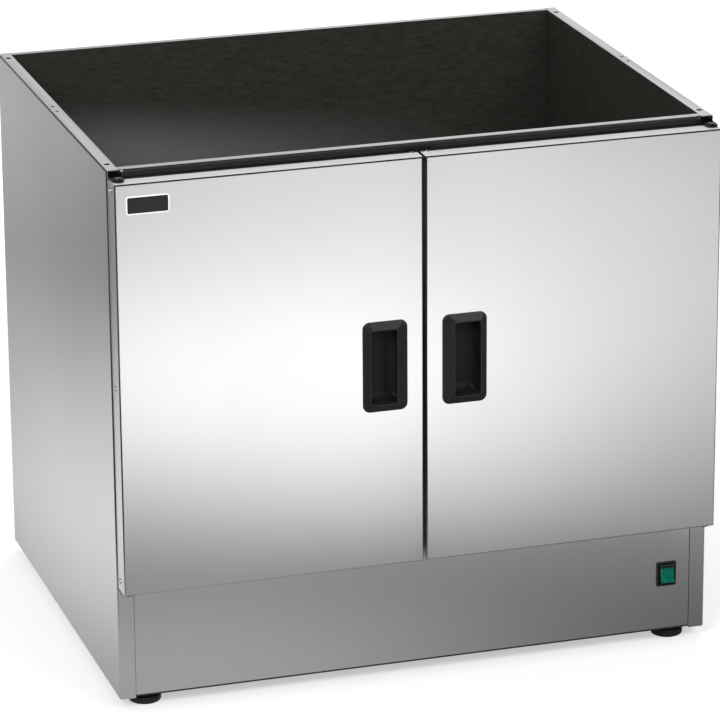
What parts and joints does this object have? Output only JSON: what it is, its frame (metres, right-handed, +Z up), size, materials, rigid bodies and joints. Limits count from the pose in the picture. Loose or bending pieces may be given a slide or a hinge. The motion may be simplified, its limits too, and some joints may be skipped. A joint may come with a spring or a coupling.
{
  "type": "hot cupboard",
  "caption": "Free-standing open-top hot cupboard in folded stainless steel, with hinged double doors, recessed grips, a rocker switch in the plinth and levelling feet.",
  "frame": {"origin": "on the floor, under the middle of the bounding box", "axes": "+Z up, -Y to the doors, +X to the right as seen from the front, along the width"},
  "size_m": [0.75, 0.5992, 0.675],
  "materials": {
    "brushed_steel": "fine upright grain, satin",
    "dark_lining": "charcoal, finely speckled, satin",
    "insulation": "mineral wool",
    "bright_steel": "bright",
    "dark_plated_steel": "dark plated, satin",
    "element_sheath": "heat-darkened alloy",
    "brass": "plain",
    "pale_plastic": "nylon",
    "black_plastic": "moulded, lightly textured satin",
    "foot_plastic": "moulded, matt",
    "wire_sleeve": "heat-resisting sleeve",
    "black_rubber": "matt",
    "green_plastic": "translucent moulded, glossy",
    "badge_enamel": "bare black field with a pale border"
  },
  "bodies": {
    "cabinet": {"left_side_panel": "brushed_steel", "right_side_panel": "brushed_steel", "back_panel": "brushed_steel", "front_rail": "brushed_steel", "plinth_panel": "brushed_steel", "base_tray": "dark_lining", "floor_plate": "brushed_steel", "left_liner": "dark_lining", "right_liner": "dark_lining", "rear_liner": "dark_lining", "left_insulation": "insulation", "right_insulation": "insulation", "rear_insulation": "insulation", "heat_tray": "bright_steel", "element_carriers": "bright_steel", "thermostat": "bright_steel", "thermal_cutout": "bright_steel", "hinge_pins": "bright_steel", "back_screws": "bright_steel", "foot_nuts": "bright_steel", "left_top_hinge": "dark_plated_steel", "right_top_hinge": "dark_plated_steel", "left_bottom_hinge": "dark_plated_steel", "right_bottom_hinge": "dark_plated_steel", "catch_magnets": "dark_plated_steel", "heating_element": "element_sheath", "element_nuts": "brass", "switch_terminals": "brass", "terminal_block": "pale_plastic", "cable_gland": "black_plastic", "gland_nut": "black_plastic", "catch_housing": "black_plastic", "switch_housing": "black_plastic", "wiring": "wire_sleeve", "door_seal": "black_rubber"},
    "left_door": {"left_door_skin": "brushed_steel", "left_door_inner": "brushed_steel", "left_door_insulation": "insulation", "left_door_handle": "black_plastic", "left_door_screws": "bright_steel", "left_door_bushes": "black_plastic", "badge_plate": "badge_enamel"},
    "right_door": {"right_door_skin": "brushed_steel", "right_door_inner": "brushed_steel", "right_door_insulation": "insulation", "right_door_handle": "black_plastic", "right_door_screws": "bright_steel", "right_door_bushes": "black_plastic"},
    "rocker": {"switch_rocker": "green_plastic"},
    "front_left_leveller": {"front_left_foot": "foot_plastic", "front_left_stud": "bright_steel"},
    "front_right_leveller": {"front_right_foot": "foot_plastic", "front_right_stud": "bright_steel"},
    "rear_left_leveller": {"rear_left_foot": "foot_plastic", "rear_left_stud": "bright_steel"},
    "rear_right_leveller": {"rear_right_foot": "foot_plastic", "rear_right_stud": "bright_steel"}
  },
  "joints": [
    {"name": "left_door_hinge", "type": "hinge", "parent": "cabinet", "child": "left_door", "pos_m": [-0.3655, -0.2791, 0.668], "axis": [0, 0, -1], "range_deg": [0, 180]},
    {"name": "right_door_hinge", "type": "hinge", "parent": "cabinet", "child": "right_door", "pos_m": [0.3655, -0.2791, 0.668], "axis": [0, 0, 1], "range_deg": [0, 180]},
    {"name": "rocker_pivot", "type": "hinge", "parent": "cabinet", "child": "rocker", "pos_m": [0.324, -0.2584, 0.091], "axis": [1, 0, 0], "range_deg": [0, 16]},
    {"name": "front_left_screw", "type": "slide", "parent": "cabinet", "child": "front_left_leveller", "axis": [0, 0, 1], "range_m": [-0.015, 0]},
    {"name": "front_right_screw", "type": "slide", "parent": "cabinet", "child": "front_right_leveller", "axis": [0, 0, 1], "range_m": [-0.015, 0]},
    {"name": "rear_left_screw", "type": "slide", "parent": "cabinet", "child": "rear_left_leveller", "axis": [0, 0, 1], "range_m": [-0.015, 0]},
    {"name": "rear_right_screw", "type": "slide", "parent": "cabinet", "child": "rear_right_leveller", "axis": [0, 0, 1], "range_m": [-0.015, 0]}
  ]
}
